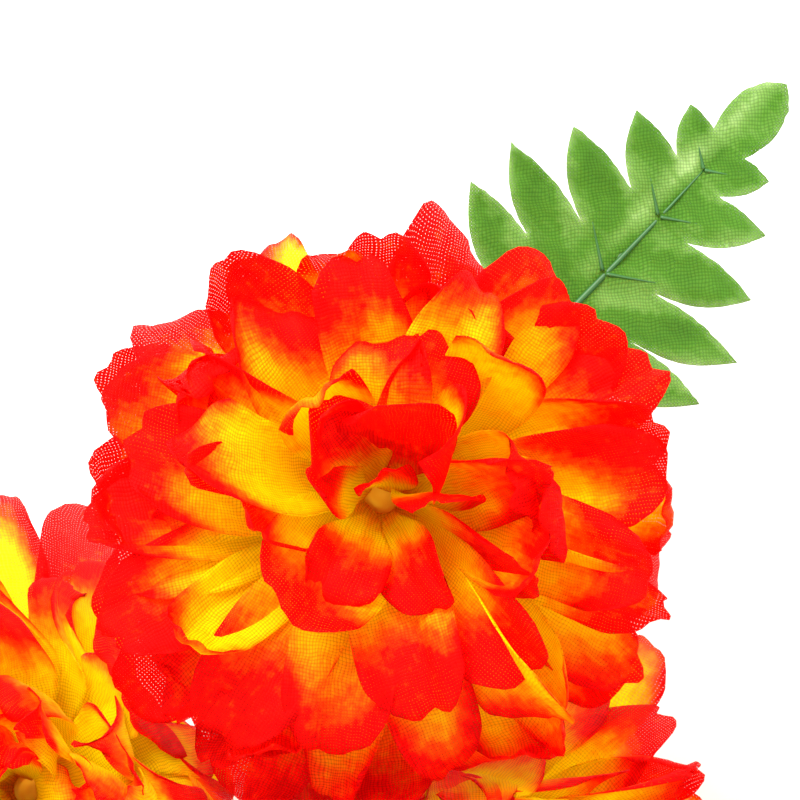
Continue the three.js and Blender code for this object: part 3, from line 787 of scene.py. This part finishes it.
# Each leaf: its stem and the stretch of it that the collar is on, the stalk's length and how far it swings
# aside, which way the leaf points and faces, and its size.
LEAVES = {
    "a": ("a", 11, 38, 9, (0.7, 0.7, 0.15), (-0.1, -0.3, 1), 1.04),
    "b": ("b", 8, 16, 0, (-0.9, 0.3, 0.3), (0, 0, 1), 0.95),
    "c": ("c", 6, 16, 0, (-0.85, -0.45, 0.15), (0, 0, 1), 0.95),
    "d": ("d", 8, 16, 0, (0.9, 0.35, 0.1), (0, 0, 1), 0.95),
    "e": ("e", 9, 16, 0, (-0.97, -0.22, 0.1), (0, 0, 1), 0.9),
    "f": ("f", 8, 16, 0, (0.9, -0.4, 0.1), (0, 0, 1), 0.9),
    "g": ("g", 5, 16, 0, (0.7, -0.7, 0.2), (0, 0, 1), 0.95),
    "h": ("e", 5, 16, 0, (-0.93, -0.36, 0.02), (0, 0, 1), 0.85),
}
# Tips and notches of one side's lobes, as (along, across) from the blade's base.
LOBES = [
    (5, 10), (15, 27), (17, 14.5), (30, 34.5), (29.5, 15), (42, 34), (40.5, 11.5),
    (54, 27), (53, 8.5), (66, 19.5), (65, 6.4), (75, 12), (75, 4.8), (89, 4.4),
]
LEAF = cloth_material(
    "leaf cloth",
    [(0.27, 0.40, 0.14), (0.13, 0.25, 0.05), (0.055, 0.155, 0.013), (0.028, 0.09, 0.007)],
    [0.3, 0.62],
    share="green",
    mottle_size=90,
    angle=0.7,
    glow=0.3,
    inner=-1.1,
    openness=0.5,
)
RIB = plain_material("leaf midrib", (0.02, 0.10, 0.015), roughness=0.5, mottle=0.2, size=200)


def leaf_outline(random, mirrored):
    """The cut edge of one half of a blade, from its base to its tip."""
    lows = LOBES[0::2] + [(LEAF_TIP, 0)]
    tips = LOBES[1::2]
    edge = [np.array([0.0, 1.1]), np.array([3.0, 5.0])]
    for low, tip, high in zip(lows, tips, lows[1:]):
        low, tip, high = (np.array(p, float) for p in (low, tip, high))
        for start, end, swell in ((low, tip, 0.11), (tip, high, 0.06)):
            run = end - start
            out = np.array([-run[1], run[0]])
            steps = max(int(np.linalg.norm(run) / EDGE_STEP), 3)
            for t in np.arange(steps) / steps:
                bulge = out * swell * math.sin(math.pi * t)
                edge.append(start + run * t + bulge + EDGE_FRAY * next(random))
    return [(a, -c if mirrored else c) for a, c in edge]


def leaf_height(along, across):
    """How high the cloth lies over the plane of the leaf's base."""
    s = along / LEAF_TIP
    out = np.abs(across)
    return FOLD * out - SAG * s * s + 1.2 * np.sin(along * 0.12) * np.minimum(out / 12, 1)


def cut_leaf(random):
    """The flat blade: its points as (along, across), its triangles, and the edges that lie on its cut rim."""
    upper = leaf_outline(random, False)
    lower = leaf_outline(random, True)
    border = upper + [(LEAF_TIP, 0.0)] + lower[::-1]
    inside = []
    for i, a in enumerate(np.arange(1.0, LEAF_TIP - 1, LEAF_GRID)):
        stagger = LEAF_GRID / 2 if i % 2 else 0
        for c in np.arange(-LEAF_HALF, LEAF_HALF + 0.1, LEAF_GRID):
            inside.append((a + 0.3 * next(random), c + stagger + 0.3 * next(random)))
    loop = [(i, (i + 1) % len(border)) for i in range(len(border))]
    spots, _, triangles, *_ = delaunay_2d_cdt([Vector(p) for p in border + inside], loop, [], 1, 1e-3)
    used = sorted({p for t in triangles for p in t})
    renumber = {p: i for i, p in enumerate(used)}
    spots = np.array([tuple(p) for p in spots])[used]
    triangles = np.array([[renumber[p] for p in t] for t in triangles])
    run = spots[triangles]
    area = np.cross(run[:, 1] - run[:, 0], run[:, 2] - run[:, 0])
    triangles = np.where(area[:, None] < 0, triangles[:, ::-1], triangles)
    edges = dict.fromkeys((t[i], t[(i + 1) % 3]) for t in triangles for i in range(3))
    return spots, triangles, [(p, q) for p, q in edges if (q, p) not in edges]


def vein_base(tip):
    """How far along the midrib the side vein to a lobe's tip starts."""
    return max(tip[0] - tip[1] * VEIN_LEAN, 0)


def pleats(a, c):
    """How far each point lies from the nearest side vein, and on which side of it, from -1 to 1."""
    vein, side = np.full(len(a), 9.0), np.zeros(len(a))
    for tip in np.array(LOBES[1:-1:2], float):
        base = vein_base(tip)
        line = np.array([tip[0] - base, tip[1]])
        size = np.linalg.norm(line)
        off = ((a - base) * line[1] - np.abs(c) * line[0]) / size
        t = ((a - base) * line[0] + np.abs(c) * line[1]) / size**2
        side = np.where((t > 0) & (np.abs(off) < np.minimum(vein, 8)), np.tanh(off / 1.5), side)
        vein = np.minimum(vein, np.where((t > 0) & (t < 0.8), np.abs(off), 9))
    return vein, side


def build_blade(node, random, axes, root, stalk, swing, k):
    """A leaf's cloth as a closed thin solid, pleated, with its green, a painted sheen and painted light and
    shade, and its open rim.
    """
    spots, triangles, cut_edges = cut_leaf(random)
    a, c = spots[:, 0], spots[:, 1]
    vein, side = pleats(a, c)
    z = leaf_height(a, c) + 0.9 * np.exp(-((vein / 1.3) ** 2)) - 0.5 * np.exp(-(((vein - 4) / 2) ** 2))
    z = z + 0.35 * np.sin(a * 0.55 + np.abs(c) * 0.3) * np.minimum(np.abs(c) / 10, 1)
    middle = np.stack([stalk + a * k, c * k + swing, z], -1)
    half = np.array([0, 0, LEAF_CLOTH / 2])
    points = np.concatenate([middle + half, middle - half])
    count = len(middle)
    faces = [tuple(map(int, t)) for t in triangles]
    faces += [tuple(int(p) + count for p in t[::-1]) for t in triangles]
    faces += [(int(q), int(p), int(p) + count, int(q) + count) for p, q in cut_edges]
    rim_points = np.array(sorted({p for e in cut_edges for p in e}))
    distance = np.min(np.linalg.norm(spots[:, None] - spots[rim_points][None], axis=2), axis=1)
    # Painted sheen: a paler band beside the midrib, towards the tip.
    painted_sheen = np.clip(1 - np.abs(c - 3.0) / 3.6, 0, 1) * smooth(25, 50, a)
    worn = 0.25 * np.exp(-((distance / 0.9) ** 2))
    # Painted light and shade: one side of each vein's pleat is painted paler and the other darker.
    green = np.clip(0.6 - 0.4 * painted_sheen - worn + 0.1 * side - 0.06 * np.sin(c * 0.3 + a * 0.1), 0, 1)
    rim = np.exp(-((distance / 1.2) ** 2))
    shares = {"green": np.tile(green, 2), "rim": np.tile(rim, 2)}
    cloth = np.tile(spots, (2, 1))
    add_mesh(node + "_blade", points @ axes + root, faces, LEAF, node, cloth, shares)


def build_ribs(node, axes, root, stalk, swing, k):
    """The stalk with the midrib under the blade, and the thin veins that stand out on its upper side."""
    end = stalk + RIB_LENGTH * k
    along = np.concatenate([np.linspace(0, stalk - 6, 4), np.linspace(stalk - 2, end, 30)])
    under = leaf_height(np.maximum(along - stalk, 0) / k, 0) - 0.9
    sink = np.where(along < stalk, -RIB_DEPTH / 2, under)
    line = np.stack([along, swing * smooth(0, stalk, along), sink], -1)
    thin = 1 - 0.6 * smooth(stalk, end, along)
    rib, faces = tube(line, lambda i, turn: RIB_RADIUS * thin[i], 12)
    add_mesh(node + "_midrib", rib @ axes + root, faces, RIB, node)
    veins = [[(22, -0.5), (40, -0.5), (56, -0.3), (68, 0)]]
    for tip in np.array(LOBES[3:12:2], float):
        base = vein_base(tip)
        for hand in (-1, 1):
            veins.append([(base + (tip[0] - base) * t, hand * tip[1] * t) for t in (0.02, 0.12, 0.24, 0.36)])
    steps = np.linspace(0, 1, VEIN_STEPS)
    for number, corners in enumerate(veins):
        spine = number == 0
        corners = np.array(corners, float)
        run_a = np.interp(steps, np.linspace(0, 1, 4), corners[:, 0])
        run_c = np.interp(steps, np.linspace(0, 1, 4), corners[:, 1])
        lifted = leaf_height(run_a, run_c) + LEAF_CLOTH / 2 + (0.15 if spine else 0.85)
        line = np.stack([stalk + run_a * k, run_c * k + swing, lifted], -1)
        thick = (0.8 if spine else 0.5) * (1 - 0.85 * steps)
        vein, faces = tube(line, lambda i, turn: thick[i], 8)
        add_mesh(f"{node}_vein_{number}", vein @ axes + root, faces, RIB, node)


def build_leaf(name):
    """One leaf with its blade, its ribs, and the collar that holds it on its stem."""
    stem_name, stretch, stalk, swing, points_to, faces_to, k = LEAVES[name]
    stem = stem_curve(stem_name, STEM_BENDS)
    start, end = stem[stretch], stem[stretch + 1]
    root = (start + end) / 2
    x = Vector(points_to).normalized()
    y = Vector(faces_to).cross(x).normalized()
    axes = np.array([x, y, x.cross(y)])
    node = "leaf_" + name
    build_blade(node, draws(LEAF_DRAWS + ord(name)), axes, root, stalk, swing, k)
    build_ribs(node, axes, root, stalk, swing, k)
    away = (end - start) / np.linalg.norm(end - start)
    side = np.cross(away, [0, 0, 1.0])
    side /= np.linalg.norm(side)
    ring_axes = np.array([side, np.cross(away, side), away])
    bore, h = STEM_RADIUS + GAP, COLLAR_LENGTH / 2
    outer = bore + COLLAR_WALL
    profile = [
        (bore, -h),
        (outer - 0.3, -h),
        (outer, -h + 0.4),
        (outer, h - 0.4),
        (outer - 0.3, h),
        (bore, h),
    ]
    collar, faces = lathe(profile, 32)
    add_mesh(node + "_collar", collar @ ring_axes + root, faces, RIB, node)


for name in LEAVES:
    build_leaf(name)

# Table: a plain pale surface that the bouquet lies on, with soft light from all round and from one large lamp
# at the back left, and a camera that looks down on the topmost head.
PIXEL = 0.2167  # how much of that head one pixel of the render takes in
FRAME_PIXELS = 800
AIM = Vector(np.array([1.5, 21.7, 120]) - BASE_MIDDLE)
ELEVATION = math.radians(80)
DISTANCE = 1600

bpy.ops.mesh.primitive_plane_add(size=6, location=(0, 0, 0))
floor = bpy.context.object
floor.name = "table"
paper = bpy.data.materials.new("pale table")
paper.use_nodes = True
surface = paper.node_tree.nodes["Principled BSDF"]
surface.inputs["Base Color"].default_value = (0.93, 0.93, 0.93, 1)
surface.inputs["Roughness"].default_value = 0.9
floor.data.materials.append(paper)

world = bpy.data.worlds.new("soft white room")
bpy.context.scene.world = world
world.use_nodes = True
light = world.node_tree.nodes["Background"]
light.inputs["Color"].default_value = (1, 1, 1, 1)
light.inputs["Strength"].default_value = 1.7

lamp_data = bpy.data.lights.new("key", "AREA")
lamp_data.energy = 46
lamp_data.size = 0.8
lamp = bpy.data.objects.new("key", lamp_data)
lamp.location = (-0.5, 0.9, 1.3)
lamp.rotation_euler = (Vector((0, 0.1, 0.1)) - lamp.location).to_track_quat("-Z", "Y").to_euler()
bpy.context.scene.collection.objects.link(lamp)

camera_data = bpy.data.cameras.new("camera")
camera = bpy.data.objects.new("camera", camera_data)
away = Vector((0, -math.cos(ELEVATION), math.sin(ELEVATION)))
camera.location = (AIM + away * DISTANCE) * METRES
camera.rotation_euler = (-away).to_track_quat("-Z", "Y").to_euler()
camera_data.lens = camera_data.sensor_width * DISTANCE / (FRAME_PIXELS * PIXEL)
camera_data.clip_end = 20
bpy.context.scene.collection.objects.link(camera)
bpy.context.scene.camera = camera
bpy.context.scene.view_settings.view_transform = "Standard"
